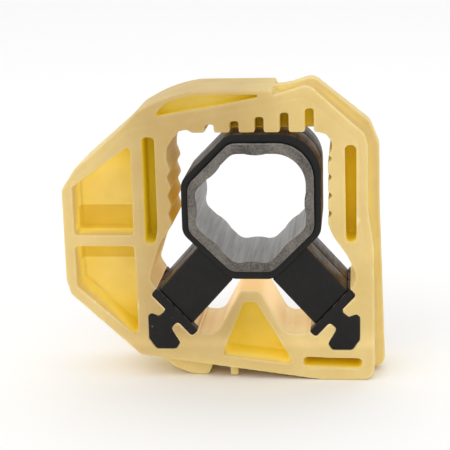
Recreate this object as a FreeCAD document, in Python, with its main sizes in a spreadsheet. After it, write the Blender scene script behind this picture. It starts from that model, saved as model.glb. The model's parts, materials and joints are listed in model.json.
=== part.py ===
import FreeCAD
import Part
import math
import os
from types import SimpleNamespace

# Rubber-sprung tube holder: a moulded polyamide housing with a comb-toothed window, two rubber
# elements stacked front and rear, and one eight-sided sleeve bonded into their rings.
#
# Frame: X to the right, Z up, Y from the front face to the back. The origin is the middle of the
# sleeve's bore, halfway along the sleeve. Every outline is drawn in the XZ plane.

SIZES = {
    # Depths, all measured from the middle of the sleeve along Y.
    "front_reach": 10.6,
    "rear_reach": 10.6,
    "sleeve_reach": 12.1,
    "ring_reach": 10.8,
    "leg_reach": 9.8,
    "anchor_reach": 10.6,
    "seam_gap": 0.2,
    "bond_gap": 0.03,
    # Housing outline: reaches from the bore's axis.
    "left_reach": 47.3,
    "left_rise": 4.6,
    "left_drop": 18.9,
    "right_reach": 28.7,
    "right_foot_reach": 30.5,
    "base_drop": 45.0,
    "crest_rise": 30.5,
    "crest_right": 14.4,
    "hip_right": 28.2,
    "hip_rise": 17.9,
    "corner_radius": 3.0,
    "edge_radius": 1.2,
    # Outer wall over the top left, which ends in a step.
    "tab_rise": 29.1,
    "tab_end": 5.6,
    "tab_step": 1.4,
    "tab_wall": 1.1,
    "tab_foot_left": 30.2,
    "tab_foot_rise": 21.4,
    # Base: a flat at the right, a slope up to the left, and a foot set back from the front.
    "flat_left": 17.0,
    "slope_left": 28.9,
    "slope_rise": 6.2,
    "foot_left": 25.5,
    "foot_right": 11.0,
    "foot_setback": 3.0,
    "gate_width": 2.1,
    "gate_left": 6.3,
    "gate_drop": 3.4,
    "gate_setback": 2.0,
    # Flange round the right side at mid-depth, the lower rear half behind it, and the front rim.
    "flange_out": 3.0,
    "flange_setback": 7.2,
    "flange_thick": 4.5,
    "flange_rise": 0.9,
    "relief_deep": 1.3,
    "rim_width": 2.6,
    "rim_deep": 0.3,
    "rim_edge": 1.4,
    "groove_deep": 0.8,
    "groove_low": 20.0,
    # Walls and webs of the coring.
    "skin_wall": 2.7,
    "inner_wall": 2.85,
    "rib_wall": 2.85,
    "rear_rib_wall": 13.6,
    "rib_rise": 11.8,
    "cell_round": 0.8,
    "web_thick": 2.0,
    "pocket_deep": 10.2,
    "wedge_deep": 4.0,
    "left_slot_width": 3.25,
    "right_slot_width": 2.8,
    "left_slot_right": 23.5,
    "right_slot_left": 23.1,
    "slot_top": 17.1,
    "slot_bottom": 9.0,
    "base_slot_left": 12.5,
    "base_slot_right": 27.3,
    "base_slot_width": 2.6,
    "base_skin": 3.1,
    # Window and its snubbers.
    "window_left": 20.7,
    "window_right": 20.0,
    "snub_clear": 0.35,
    "tooth_width": 3.95,
    "tooth_gap": 2.15,
    "tooth_first": -4.8,
    "tooth_count": 5,
    "tooth_short": 2.0,
    "tooth_rise": 1.0,
    "comb_web": 4.5,
    "tip_radius": 0.75,
    "rib_pitch": 4.6,
    "rib_height": 1.0,
    "rib_count": 4,
    "rib_top": 13.4,
    # Hump under the ring and the valleys beside it.
    "hump_clear": 3.1,
    "hump_offset": 0.7,
    "hump_half": 2.4,
    "hump_base_half": 8.4,
    "hump_wall": 3.0,
    "valley_drop": 33.0,
    "truss_drop": 40.9,
    # Sleeve.
    "bore_half_width": 13.6,
    "bore_half_height": 13.75,
    "bore_cut": 9.2,
    "bore_round": 4.6,
    "bore_corner": 3.2,
    "sleeve_side_wall": 1.95,
    "sleeve_cap_wall": 2.4,
    "sleeve_cut_more": 1.17,
    "sleeve_round_more": 0.8,
    "bulge_width": 5.2,
    "bulge_height": 0.35,
    # Rubber ring.
    "ring_side_wall": 1.75,
    "ring_cap_wall": 2.25,
    "ring_cut_more": 2.59,
    "ring_round_more": 1.4,
    "ring_round": 4.0,
    # Legs and their anchors.
    "leg_angle": 48.0,
    "leg_width": 11.9,
    "leg_focus_drop": 4.3,
    "shoulder_from": 29.4,
    "shoulder_turn": 5.3,
    "shoulder_thick": 2.2,
    "shoulder_outer": 6.9,
    "shoulder_inner": 8.2,
    "wing_thick": 3.4,
    "neck_width": 4.2,
    "neck_shift": 0.9,
    "neck_length": 2.5,
    "head_right": 7.08,
    "head_drop": 10.8,
    "head_side": 8.8,
    "head_chamfer": 2.2,
    "anchor_clear": 0.1,
}

# How far a cut that opens outward reaches past the outside.
BEYOND = 6.0

doc = FreeCAD.newDocument("TubeHolder")
sheet = doc.addObject("Spreadsheet::Sheet", "Sizes")
for row, (alias, value) in enumerate(SIZES.items(), start=1):
    sheet.set(f"A{row}", alias)
    sheet.set(f"B{row}", str(value))
    sheet.setAlias(f"B{row}", alias)
doc.recompute()
s = SimpleNamespace(**{alias: float(sheet.get(alias)) for alias in SIZES})


# ---------------------------------------------------------------- outlines


def polar(length, angle):
    """A flat vector of this length, at this angle in degrees above +X."""
    turn = math.radians(angle)
    return FreeCAD.Vector(length * math.cos(turn), length * math.sin(turn), 0)


def point(x, z):
    """A point of an outline, in the sketch's own two axes."""
    return FreeCAD.Vector(x, z, 0)


def crossing(a, b, c, d):
    """Where the line through a and b meets the line through c and d."""
    along = b - a
    other = d - c
    base = along.x * other.y - along.y * other.x
    share = ((c.x - a.x) * other.y - (c.y - a.y) * other.x) / base
    return a + along * share


def rounded(corners):
    """Lines and arcs of a closed outline, from (x, z, radius) corners in order.

    A radius is limited to what the two sides beside its corner have room for.
    """
    places = [point(x, z) for x, z, _ in corners]
    radii = [radius for _, _, radius in corners]
    count = len(places)
    starts, ends, middles = [], [], []
    for i, place in enumerate(places):
        back = places[i - 1] - place
        ahead = places[(i + 1) % count] - place
        half = back.getAngle(ahead) / 2
        room = 0.49 * min(back.Length, ahead.Length)
        trim = min(radii[i] / math.tan(half), room) if half < math.pi / 2 - 0.01 else 0.0
        if trim < 0.02:
            starts.append(place)
            ends.append(place)
            middles.append(None)
            continue
        back.normalize()
        ahead.normalize()
        radius = trim * math.tan(half)
        bisector = (back + ahead).normalize()
        middles.append(place + bisector * (radius / math.sin(half) - radius))
        starts.append(place + back * trim)
        ends.append(place + ahead * trim)
    pieces = []
    for i in range(count):
        if middles[i] is not None:
            pieces.append(Part.Arc(starts[i], middles[i], ends[i]))
        pieces.append(Part.LineSegment(ends[i], starts[(i + 1) % count]))
    return pieces


def mirrored(corners):
    """The same outline reflected left to right, still running the same way round."""
    return [(-x, z, radius) for x, z, radius in reversed(corners)]


def grown(corners, clearance):
    """Lines and arcs of the rounded outline, moved outward by clearance all round."""
    edges = [piece.toShape() for piece in rounded(corners)]
    wire = Part.Wire(Part.__sortEdges__(edges)).makeOffset2D(clearance)
    pieces = []
    for edge in wire.Edges:
        first, last = edge.FirstParameter, edge.LastParameter
        a, m, b = (edge.valueAt(first + (last - first) * share) for share in (0.0, 0.5, 1.0))
        straight = isinstance(edge.Curve, Part.Line)
        pieces.append(Part.LineSegment(a, b) if straight else Part.Arc(a, m, b))
    return pieces


def lens(a, b, inward, width, height):
    """Lines and an arc of one side a to b whose middle swells inward by height."""
    middle = (a + b) * 0.5
    along = (b - a).normalize()
    first = middle - along * (width / 2)
    last = middle + along * (width / 2)
    crown = middle + inward * height
    return [
        Part.LineSegment(a, first),
        Part.Arc(first, crown, last),
        Part.LineSegment(last, b),
    ]


def eight_sided(half_width, half_height, cut, round_cut, radius):
    """Eight-sided outline: three corners cut at 45 degrees, and the top right one rounded by round_cut."""
    return [
        (-half_width, half_height - cut, radius),
        (-half_width + cut, half_height, radius),
        (half_width - round_cut, half_height, 2 * round_cut),
        (half_width, half_height - round_cut, 2 * round_cut),
        (half_width, -half_height + cut, radius),
        (half_width - cut, -half_height, radius),
        (-half_width + cut, -half_height, radius),
        (-half_width, -half_height + cut, radius),
    ]


# ---------------------------------------------------------------- bodies, pads and pockets


def new_body(name):
    """A body whose label names its file."""
    body = doc.addObject("PartDesign::Body", name)
    body.Label = name
    return body


def new_sketch(body, name, outlines, depth):
    """A sketch on the body's XZ plane, moved to the Y given by the expression depth."""
    sketch = body.newObject("Sketcher::SketchObject", name)
    plane = next(f for f in body.Origin.OriginFeatures if f.Role == "XZ_Plane")
    sketch.AttachmentSupport = [(plane, "")]
    sketch.MapMode = "FlatFace"
    sketch.setExpression(".AttachmentOffset.Base.z", f"-({depth})")
    for outline in outlines:
        pieces = rounded(outline) if isinstance(outline[0], tuple) else outline
        sketch.addGeometry(pieces, False)
    return sketch


def pad(body, name, outlines, back, length):
    """Adds the outlines from Y = back towards the front by length."""
    sketch = new_sketch(body, f"{name}_sketch", outlines, back)
    feature = body.newObject("PartDesign::Pad", name)
    feature.Profile = sketch
    feature.setExpression("Length", length)
    doc.recompute()
    return feature


def pocket(body, name, outlines, start, length, from_rear=False):
    """Cuts the outlines from Y = start by length, towards the back or, from_rear, the front."""
    before = body.Shape.Volume
    sketch = new_sketch(body, f"{name}_sketch", outlines, start)
    feature = body.newObject("PartDesign::Pocket", name)
    feature.Profile = sketch
    feature.Reversed = from_rear
    feature.setExpression("Length", length)
    doc.recompute()
    if body.Shape.Volume >= before - 0.01:
        raise RuntimeError(f"{name} removes nothing")
    return feature


# ---------------------------------------------------------------- shared sizes

ring_half_width = s.bore_half_width + s.sleeve_side_wall + s.ring_side_wall
ring_half_height = s.bore_half_height + s.sleeve_cap_wall + s.ring_cap_wall
window_top = ring_half_height + s.snub_clear
hump_top = -ring_half_height - s.hump_clear
rib_count = int(s.rib_count)
tooth_count = int(s.tooth_count)
total_depth = "Sizes.rear_reach + Sizes.front_reach"

# A leg's own axes: out along its middle line, and across it towards the housing's side wall.
focus = point(0, -s.leg_focus_drop)
outward = polar(1, -s.leg_angle)
across = polar(1, 90 - s.leg_angle)


# The shoulder is turned a little from square to the leg, about the middle of its face.
seat = focus + outward * s.shoulder_from
seat_out = polar(1, s.shoulder_turn - s.leg_angle)
seat_across = polar(1, 90 + s.shoulder_turn - s.leg_angle)


def leg_point(out, side):
    """A point this far out along the right leg and this far across it."""
    return focus + outward * out + across * side


def seat_point(out, side):
    """A point this far beyond the right shoulder's face and this far along it."""
    return seat + seat_out * out + seat_across * side


def ring_outline(grow=0.0):
    """Outside of the rubber ring, larger by grow all round."""
    cut = s.bore_cut + s.ring_cut_more
    shoulder = s.bore_round + s.ring_round_more
    return eight_sided(ring_half_width + grow, ring_half_height + grow, cut, shoulder, s.ring_round)


def sleeve_outline(grow=0.0):
    """Outside of the sleeve, larger by grow all round."""
    half_width = s.bore_half_width + s.sleeve_side_wall + grow
    half_height = s.bore_half_height + s.sleeve_cap_wall + grow
    cut = s.bore_cut + s.sleeve_cut_more
    shoulder = s.bore_round + s.sleeve_round_more
    return eight_sided(half_width, half_height, cut, shoulder, s.ring_round)


def anchor_outline():
    """Shoulder, neck and arrow head of the right leg's anchor."""
    half_neck = s.neck_width / 2
    under = s.shoulder_thick
    barb = under + s.neck_length
    face_left = seat_point(0, -s.shoulder_inner)
    face_right = seat_point(0, s.shoulder_outer)
    under_left = seat_point(under, -s.shoulder_inner)
    under_right = seat_point(under, s.shoulder_outer - 0.2)
    neck_left = seat_point(under, -half_neck - s.neck_shift)
    neck_right = seat_point(under, half_neck - s.neck_shift)
    barb_left = seat_point(barb, -half_neck - s.neck_shift)
    barb_right = seat_point(barb, half_neck - s.neck_shift)
    right = seat.x + s.head_right
    bottom = seat.y - s.head_drop
    side = s.head_side
    chamfer = s.head_chamfer
    return [
        (face_left.x, face_left.y, 0.5),
        (face_right.x, face_right.y, 0.4),
        (under_right.x, under_right.y, 0.7),
        (neck_right.x, neck_right.y, 0.7),
        (barb_right.x, barb_right.y, 0.8),
        (right - 0.8, bottom + side + 0.5, 0.4),
        (right, bottom + side - 0.2, 0.4),
        (right, bottom + chamfer + 0.4, 0.9),
        (right - chamfer + 0.3, bottom, 1.0),
        (right - side + 1.9, bottom, 0.8),
        (right - side + 0.9, bottom + 1.5, 0.5),
        (barb_left.x, barb_left.y, 0.9),
        (neck_left.x, neck_left.y, 0.8),
        (under_left.x, under_left.y, 0.8),
    ]


# ---------------------------------------------------------------- housing outlines


def housing_outline():
    """Front outline of the housing, clockwise from the lower end of its left side."""
    return [
        (-s.left_reach, -s.left_drop, 2.0),
        (-s.left_reach, s.left_rise, 2.0),
        (-s.left_reach + 3.4, s.left_rise + 5.2, 2.4),
        (-s.tab_foot_left, s.tab_foot_rise, 1.5),
        (-s.tab_foot_left + 1.6, s.tab_foot_rise + 2.2, 9.0),
        (-s.tab_foot_left + 8.0, s.tab_foot_rise + 5.6, 28.0),
        (-s.tab_foot_left + 15.0, s.tab_rise, 25.0),
        (s.tab_end, s.tab_rise, 0.3),
        (s.tab_end, s.tab_rise - s.tab_step, 0.4),
        (s.crest_right, s.crest_rise, s.corner_radius),
        (s.hip_right, s.hip_rise, s.corner_radius),
        (s.right_reach, s.hip_rise - 3.0, 4.0),
        (s.right_reach, 0.0, 12.0),
        (s.right_foot_reach - 0.3, -10.7, 12.0),
        (s.right_foot_reach, -s.base_drop, s.corner_radius),
        (s.flat_left, -s.base_drop, 8.0),
        (-s.slope_left, -s.base_drop + s.slope_rise, s.edge_radius),
        (-s.left_reach + 1.0, -s.left_drop - 3.6, s.edge_radius),
    ]


def flange_outline():
    """Flange round the right-hand outline, closed inside the housing."""
    out, rise = s.flange_out, s.flange_rise
    return [
        (s.tab_end - 0.4, s.tab_rise - s.tab_step - 2.0, 0.2),
        (s.tab_end - 0.4, s.tab_rise - 0.1, 0.2),
        (s.tab_end + 4.4, s.tab_rise + 0.6, 6.0),
        (s.crest_right + 1.0, s.crest_rise + rise, s.corner_radius),
        (s.hip_right + 0.35 * out, s.hip_rise + 0.75 * out, s.corner_radius),
        (s.right_reach + out - 0.1, s.hip_rise - 3.4, s.corner_radius),
        (s.right_reach + out, 0.0, 12.0),
        (s.right_foot_reach + out - 0.2, -s.base_drop + 1.0, 2.6),
        (s.right_foot_reach - 3.0, -s.base_drop + 1.0, 0.2),
        (s.right_reach - 2.0, -11.0, 0.2),
        (s.right_reach - 2.0, s.hip_rise - 4.0, 0.2),
        (s.crest_right, s.crest_rise - 2.5, 0.2),
    ]


def inset_path(deep):
    """Right-hand outline moved inward by deep, from the tab's end to above the base."""
    return [
        (s.tab_end + 0.6, s.tab_rise - s.tab_step - 0.9 * deep, 1.5),
        (s.crest_right - 0.3 * deep, s.crest_rise - 1.2 * deep, s.corner_radius),
        (s.hip_right - 0.8 * deep, s.hip_rise - 0.5 * deep, s.corner_radius),
        (s.right_reach - 0.85 * deep, s.hip_rise - 3.0 - 0.3 * deep, 3.0),
        (s.right_reach - 0.85 * deep, 0.0, 10.0),
        (s.right_foot_reach - 0.3 - 0.85 * deep, -10.7, 10.0),
    ]


def relief_outline(deep, low):
    """Strip this deep off the right-hand outline, ending at the level low."""
    return inset_path(deep) + [
        (s.right_foot_reach - deep, low + deep, 1.0),
        (s.right_foot_reach + 0.4, low, 0.2),
        (s.right_foot_reach + BEYOND, low, 0.2),
        (s.right_foot_reach + BEYOND, s.crest_rise + BEYOND, 0.2),
        (s.tab_end + 0.6, s.crest_rise + BEYOND, 0.2),
    ]


def rim_outline():
    """Everything outside the front face's raised middle, along the diagonal, the top and the right."""
    wide = s.rim_width
    low = -s.groove_low
    return [
        (-s.left_reach - BEYOND, s.left_rise + 1.0, 0.2),
        (-s.left_reach + 1.6, s.left_rise + 1.0, 2.0),
        (-s.tab_foot_left + 1.0, s.tab_foot_rise - 1.6, 3.0),
        (-s.tab_foot_left + 22.0, s.tab_foot_rise + 2.0, 10.0),
    ] + inset_path(wide)[1:] + [
        (s.right_foot_reach + 0.6, low, 0.2),
        (s.right_foot_reach + BEYOND, low, 0.2),
        (s.right_foot_reach + BEYOND, s.crest_rise + BEYOND, 0.2),
        (-s.left_reach - BEYOND, s.crest_rise + BEYOND, 0.2),
    ]


def foot_outline():
    """Foot under the left half, down to the level of the base."""
    return [
        (-s.foot_left, -s.base_drop + 8.0, 0.5),
        (-s.foot_left, -s.base_drop + 5.9, 1.0),
        (-s.foot_left + 5.0, -s.base_drop + 1.8, 7.0),
        (-s.foot_left + 9.5, -s.base_drop, 6.0),
        (-s.foot_right - 1.0, -s.base_drop, 1.0),
        (-s.foot_right, -s.base_drop + 2.2, 1.0),
        (-s.foot_right, -s.base_drop + 8.0, 0.5),
    ]


def gate_outline():
    """Stub of the moulding gate on the sloping base."""
    low = -s.base_drop + 3.6 - s.gate_drop
    return [
        (-s.gate_left, low, 0.3),
        (-s.gate_left, low + 5.0, 0.2),
        (-s.gate_left + s.gate_width, low + 5.0, 0.2),
        (-s.gate_left + s.gate_width, low, 0.3),
    ]


def left_ribs():
    """Saw teeth down the left side of the window, from top to bottom."""
    tips = []
    for i in range(rib_count):
        z = s.rib_top - 1.1 - i * s.rib_pitch
        tips.append((-s.window_left, z, 0.3))
        tips.append((-s.window_left + s.rib_height, z - 0.62 * s.rib_pitch, 0.5))
    return tips


def right_ribs():
    """Scalloped ribs down the right side of the window, from top to bottom."""
    edge = s.window_right - s.rib_height
    notches = []
    for i in range(rib_count):
        z = s.rib_top - 1.2 - i * s.rib_pitch
        notches.append((edge, z + 0.9, 0.4))
        notches.append((s.window_right - 0.1, z + 0.3, 0.5))
        notches.append((s.window_right - 0.1, z - 0.5, 0.5))
        notches.append((edge, z - 1.0, 0.4))
    return notches


def window_outline():
    """Window between the walls, the comb's tips, the shoulders' faces and the hump."""
    seat_high = seat_point(-s.anchor_clear, s.shoulder_outer + s.anchor_clear)
    seat_low = seat_point(-s.anchor_clear, -s.shoulder_inner - s.anchor_clear)
    hump = -s.hump_offset
    low = -s.valley_drop
    ribs_end = s.rib_top - rib_count * s.rib_pitch
    corners = [
        (-s.window_left + 0.4, window_top - 3.2, 1.5),
        (-s.window_left + 3.4, window_top + 0.5, 0.8),
        (-s.window_left + 5.4, window_top + 0.8, 0.8),
        (-s.window_left + 6.6, window_top, 0.6),
        (s.window_right - 3.2, window_top, s.tip_radius),
        (s.window_right - 1.4, window_top - 0.5, 1.0),
        (s.window_right, window_top - 2.4, 2.0),
        (s.window_right, s.rib_top + 1.0, 1.0),
    ]
    corners += right_ribs()
    corners += [
        (s.window_right - s.rib_height, ribs_end + 0.6, 1.0),
        (s.window_right + 0.2, ribs_end - 2.4, 2.0),
        (seat_high.x - 0.75, seat_high.y + 8.74, 6.0),
        (seat_high.x + 1.65, seat_high.y + 3.54, 4.0),
        (seat_high.x + 0.6, seat_high.y + 0.6, 0.4),
        (seat_high.x, seat_high.y, 0.2),
        (seat_low.x, seat_low.y, 0.2),
        (seat_low.x - 0.4, low + 0.2, 0.8),
        (hump + s.hump_base_half + 2.0, low, 1.4),
        (hump + s.hump_base_half, low + 0.6, 2.0),
        (hump + s.hump_half, hump_top, 1.6),
        (hump - s.hump_half, hump_top, 1.6),
        (hump - s.hump_base_half, low + 0.6, 2.0),
        (hump - s.hump_base_half - 2.0, low, 1.4),
        (-seat_low.x + 0.4, low + 0.2, 0.8),
        (-seat_low.x, seat_low.y, 0.2),
        (-seat_high.x, seat_high.y, 0.2),
        (-seat_high.x - 0.6, seat_high.y + 0.6, 0.4),
        (-seat_high.x - 1.75, seat_high.y + 2.54, 4.0),
        (-seat_high.x + 1.05, seat_high.y + 11.14, 6.0),
    ]
    corners += list(reversed(left_ribs()))
    return corners


def comb_gaps():
    """Gaps between the comb's teeth, wider at the rounded tips. Their roots rise to the right."""
    flare = s.tip_radius + 0.1
    pitch = s.tooth_width + s.tooth_gap
    gaps = []
    for i in range(-1, tooth_count - 1):
        left = s.tooth_first + i * pitch
        short = s.tooth_short if i < 0 else s.tooth_short + s.tooth_rise * (i + 0.8)
        root = window_top + short
        gaps.append(
            [
                (left - flare, window_top - 1.0, 0.0),
                (left - flare, window_top, 0.0),
                (left, window_top, s.tip_radius),
                (left, root - 0.1, 0.55),
                (left + s.tooth_gap, root + 0.1, 0.55),
                (left + s.tooth_gap, window_top, s.tip_radius),
                (left + s.tooth_gap + flare, window_top, 0.0),
                (left + s.tooth_gap + flare, window_top - 1.0, 0.0),
            ]
        )
    return gaps


def upper_cell(rib_wall):
    """Upper left cell of the coring, under the diagonal and above a rib this thick."""
    low = -s.left_drop + s.rib_rise + (rib_wall - s.rib_wall) / 2
    left = -s.left_reach + s.skin_wall
    right = -s.left_slot_right - s.left_slot_width - s.inner_wall
    return [
        (left, low, s.cell_round),
        (left, s.left_rise + 0.7, s.cell_round),
        (right, s.tab_foot_rise - 5.6, s.cell_round),
        (right, low, s.cell_round),
    ]


def lower_cell(rib_wall):
    """Lower left cell, under a rib this thick."""
    left = -s.left_reach + s.skin_wall
    right = -s.left_slot_right - s.left_slot_width - s.inner_wall
    top = -s.left_drop + s.rib_rise - (rib_wall + s.rib_wall) / 2
    return [
        (left, -s.left_drop - 1.6, s.cell_round),
        (left, top, s.cell_round),
        (right, top, s.cell_round),
        (right + 0.2, -s.base_drop + s.slope_rise + 4.6, s.cell_round),
    ]


def left_slot():
    """Deep slot behind the left side of the window."""
    right = -s.left_slot_right
    left = right - s.left_slot_width
    return [
        (left, -s.slot_bottom - 0.4, 1.1),
        (left, s.slot_top + 0.6, 1.0),
        (right, s.slot_top + 0.6, 1.0),
        (right, -s.slot_bottom + 3.6, 1.5),
        (right - 0.8, -s.slot_bottom - 0.4, 0.9),
    ]


def right_slot():
    """Deep slot behind the right side of the window."""
    left = s.right_slot_left
    return [
        (left + 0.3, -s.slot_bottom, 1.1),
        (left, s.slot_top - 1.6, 1.1),
        (left + s.right_slot_width, s.slot_top - 1.6, 1.1),
        (left + s.right_slot_width, -s.slot_bottom, 1.1),
    ]


def base_slot():
    """Deep slot over the flat of the base."""
    low = -s.base_drop + s.base_skin
    return [
        (s.base_slot_left, low + 0.4, 1.0),
        (s.base_slot_left, low + s.base_slot_width + 0.3, 1.0),
        (s.base_slot_right, low + s.base_slot_width, 1.0),
        (s.base_slot_right, low, 1.0),
    ]


def truss_cell():
    """Three-cornered cell inside the hump."""
    hump = -s.hump_offset
    return [
        (hump - 7.4, -s.truss_drop + 2.2, 0.9),
        (hump - 1.7, hump_top - s.hump_wall, 1.1),
        (hump + 1.5, hump_top - s.hump_wall, 1.1),
        (hump + 10.9, -s.truss_drop, 0.9),
    ]


def wedge_cell():
    """Long wedge-shaped cell between the outer wall and the comb's bar."""
    top = s.tab_rise - s.tab_wall
    foot = -s.tab_foot_left
    return [
        (foot + 6.6, s.tab_foot_rise + 1.4, 0.3),
        (foot + 9.6, s.tab_foot_rise + 4.7, 6.0),
        (foot + 15.6, top, 8.0),
        (s.tab_end - 1.4, top, 0.1),
        (s.tab_end - 1.4, top - 0.3, 0.1),
        (s.tab_end - 14.6, s.tab_foot_rise + 3.8, 10.0),
        (foot + 14.5, s.tab_foot_rise + 2.8, 5.0),
    ]


# ---------------------------------------------------------------- housing


def build_housing():
    """The moulded housing, with both anchors' slots cut to the anchors' own outline."""
    body = new_body("housing")
    pad(body, "outline", [housing_outline()], "Sizes.rear_reach", total_depth)
    front = "-Sizes.front_reach"
    rear = "Sizes.rear_reach"
    flange_back = f"{front} + Sizes.flange_setback + Sizes.flange_thick"
    pad(body, "flange", [flange_outline()], flange_back, "Sizes.flange_thick")
    foot_length = f"{total_depth} - Sizes.foot_setback"
    pad(body, "foot", [foot_outline()], rear, foot_length)
    gate_back = f"{front} + Sizes.gate_setback + Sizes.gate_width"
    pad(body, "gate", [gate_outline()], gate_back, "Sizes.gate_width")
    relief_length = f"{total_depth} - Sizes.flange_setback - Sizes.flange_thick"
    relief = relief_outline(s.relief_deep, -s.base_drop + 6.0)
    pocket(body, "relief", [relief], flange_back, relief_length)
    groove = relief_outline(s.groove_deep, -s.groove_low)
    groove_start = f"{front} + Sizes.rim_edge"
    pocket(body, "groove", [groove], groove_start, "Sizes.flange_setback - Sizes.rim_edge")
    pocket(body, "rim", [rim_outline()], front, "Sizes.rim_deep")
    pocket(body, "window", [window_outline()], front, total_depth)
    gaps = comb_gaps()
    pocket(body, "first_gap", gaps[:1], front, total_depth)
    pocket(body, "comb", gaps[1:], front, "Sizes.flange_setback")
    behind_web = f"{total_depth} - Sizes.flange_setback - Sizes.comb_web"
    pocket(body, "rear_comb", gaps[1:], rear, behind_web, from_rear=True)
    anchor_slots = [
        grown(anchor_outline(), s.anchor_clear),
        grown(mirrored(anchor_outline()), s.anchor_clear),
    ]
    pocket(body, "anchor_slots", anchor_slots, front, total_depth)
    shared = [truss_cell(), left_slot(), right_slot(), base_slot()]
    front_cells = shared + [upper_cell(s.rib_wall), lower_cell(s.rib_wall)]
    rear_cells = shared + [upper_cell(s.rear_rib_wall), lower_cell(s.rear_rib_wall), wedge_cell()]
    pocket(body, "front_cells", front_cells, front, "Sizes.pocket_deep")
    rear_length = f"{total_depth} - Sizes.pocket_deep - Sizes.web_thick"
    pocket(body, "rear_cells", rear_cells, rear, rear_length, from_rear=True)
    pocket(body, "front_wedge", [wedge_cell()], front, "Sizes.wedge_deep")
    return body


# ---------------------------------------------------------------- rubber and sleeve


def build_sleeve():
    """One continuous sleeve whose bore has eight sides, each swollen a little inward."""
    body = new_body("inner_sleeve")
    pad(body, "tube", [sleeve_outline()], "Sizes.sleeve_reach", "2 * Sizes.sleeve_reach")
    corners = eight_sided(s.bore_half_width, s.bore_half_height, s.bore_cut, s.bore_round, s.bore_corner)
    bore = []
    for piece in rounded(corners):
        straight = isinstance(piece, Part.LineSegment)
        if not straight or piece.length() < s.bulge_width + 0.6:
            bore.append(piece)
            continue
        a, b = piece.StartPoint, piece.EndPoint
        inward = FreeCAD.Vector(0, 0, 1).cross(b - a).normalize()
        if inward.dot((a + b) * 0.5) > 0:
            inward = inward * -1
        bore += lens(a, b, inward, s.bulge_width, s.bulge_height)
    pocket(body, "bore", [bore], "-Sizes.sleeve_reach", "2 * Sizes.sleeve_reach")
    return body


def back_and_length(end, reach):
    """Expressions for the rear face and the length of a rubber piece at this end."""
    length = f"{reach} - Sizes.seam_gap / 2"
    return ("-Sizes.seam_gap / 2" if end == "front" else reach), length


def build_ring(end):
    """One rubber ring, bonded round half of the sleeve's length."""
    body = new_body(f"{end}_ring")
    back, length = back_and_length(end, "Sizes.ring_reach")
    pad(body, f"{end}_ring_pad", [ring_outline(), sleeve_outline(s.bond_gap)], back, length)
    return body


def leg_outline():
    """Right leg, from the ring's lower diagonal to the shoulder's face."""
    lower = ring_outline(s.bond_gap)[4:6]
    high, low = (point(x, z) for x, z, _ in lower)
    half = s.leg_width / 2
    root = [crossing(leg_point(0, v), leg_point(1, v), high, low) for v in (-half, half)]
    face = [seat_point(-s.bond_gap, v) for v in (-half, half)]
    ends = [crossing(leg_point(0, v), leg_point(1, v), *face) for v in (half, -half)]
    return [(p.x, p.y, 0.0) for p in root + ends]


def build_leg(end, side):
    """One rubber leg between a ring and its anchor."""
    name = f"{end}_{side}_leg"
    body = new_body(name)
    back, length = back_and_length(end, "Sizes.leg_reach")
    outline = leg_outline() if side == "right" else mirrored(leg_outline())
    pad(body, f"{name}_pad", [outline], back, length)
    return body


def wing_cuts():
    """Boxes over both ends of the right shoulder, outside the leg's width."""
    cuts = []
    half = s.leg_width / 2 + 0.3
    top, under = -1.0, s.shoulder_thick + 0.4
    for low, high in ((-s.shoulder_inner - 1.0, -half), (half, s.shoulder_outer + 1.0)):
        places = ((top, low), (top, high), (under, high), (under, low))
        corners = [seat_point(out, side) for out, side in places]
        cuts.append([(p.x, p.y, 0.0) for p in corners])
    return cuts


def build_anchor(end, side):
    """One rubber anchor: shoulder with wings at its outer face, neck and arrow head."""
    name = f"{end}_{side}_anchor"
    body = new_body(name)
    back, length = back_and_length(end, "Sizes.anchor_reach")
    outline, cuts = anchor_outline(), wing_cuts()
    if side == "left":
        outline = mirrored(outline)
        cuts = [mirrored(cut) for cut in cuts]
    pad(body, f"{name}_pad", [outline], back, length)
    start = "-Sizes.anchor_reach + Sizes.wing_thick" if end == "front" else "Sizes.seam_gap / 2"
    cut_length = "Sizes.anchor_reach - Sizes.wing_thick - Sizes.seam_gap / 2"
    pocket(body, f"{name}_notch", cuts, start, cut_length)
    return body


bodies = [build_housing(), build_sleeve()]
for end in ("front", "rear"):
    bodies.append(build_ring(end))
    for side in ("left", "right"):
        bodies.append(build_leg(end, side))
        bodies.append(build_anchor(end, side))
doc.recompute()

for item in doc.Objects:
    if {"Invalid", "Error"} & set(item.State):
        raise RuntimeError(f"{item.Name} is {item.State}")
os.makedirs("parts", exist_ok=True)
for body in bodies:
    if body.Shape.isNull() or not body.Shape.isValid() or len(body.Shape.Solids) != 1:
        raise RuntimeError(f"{body.Label} is not one valid solid")
    body.Shape.exportStep(f"parts/{body.Label}.step")
    print(body.Label, round(body.Shape.Volume, 1), body.Shape.BoundBox)
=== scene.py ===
"""Looks of a rubber-sprung tube holder: a moulded housing, two rubber elements and the sleeve in them."""

import json
import logging
from collections.abc import Sequence
from dataclasses import dataclass
from enum import Enum
from math import cos, radians, sin

import bpy
from mathutils import Matrix, Vector

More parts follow.
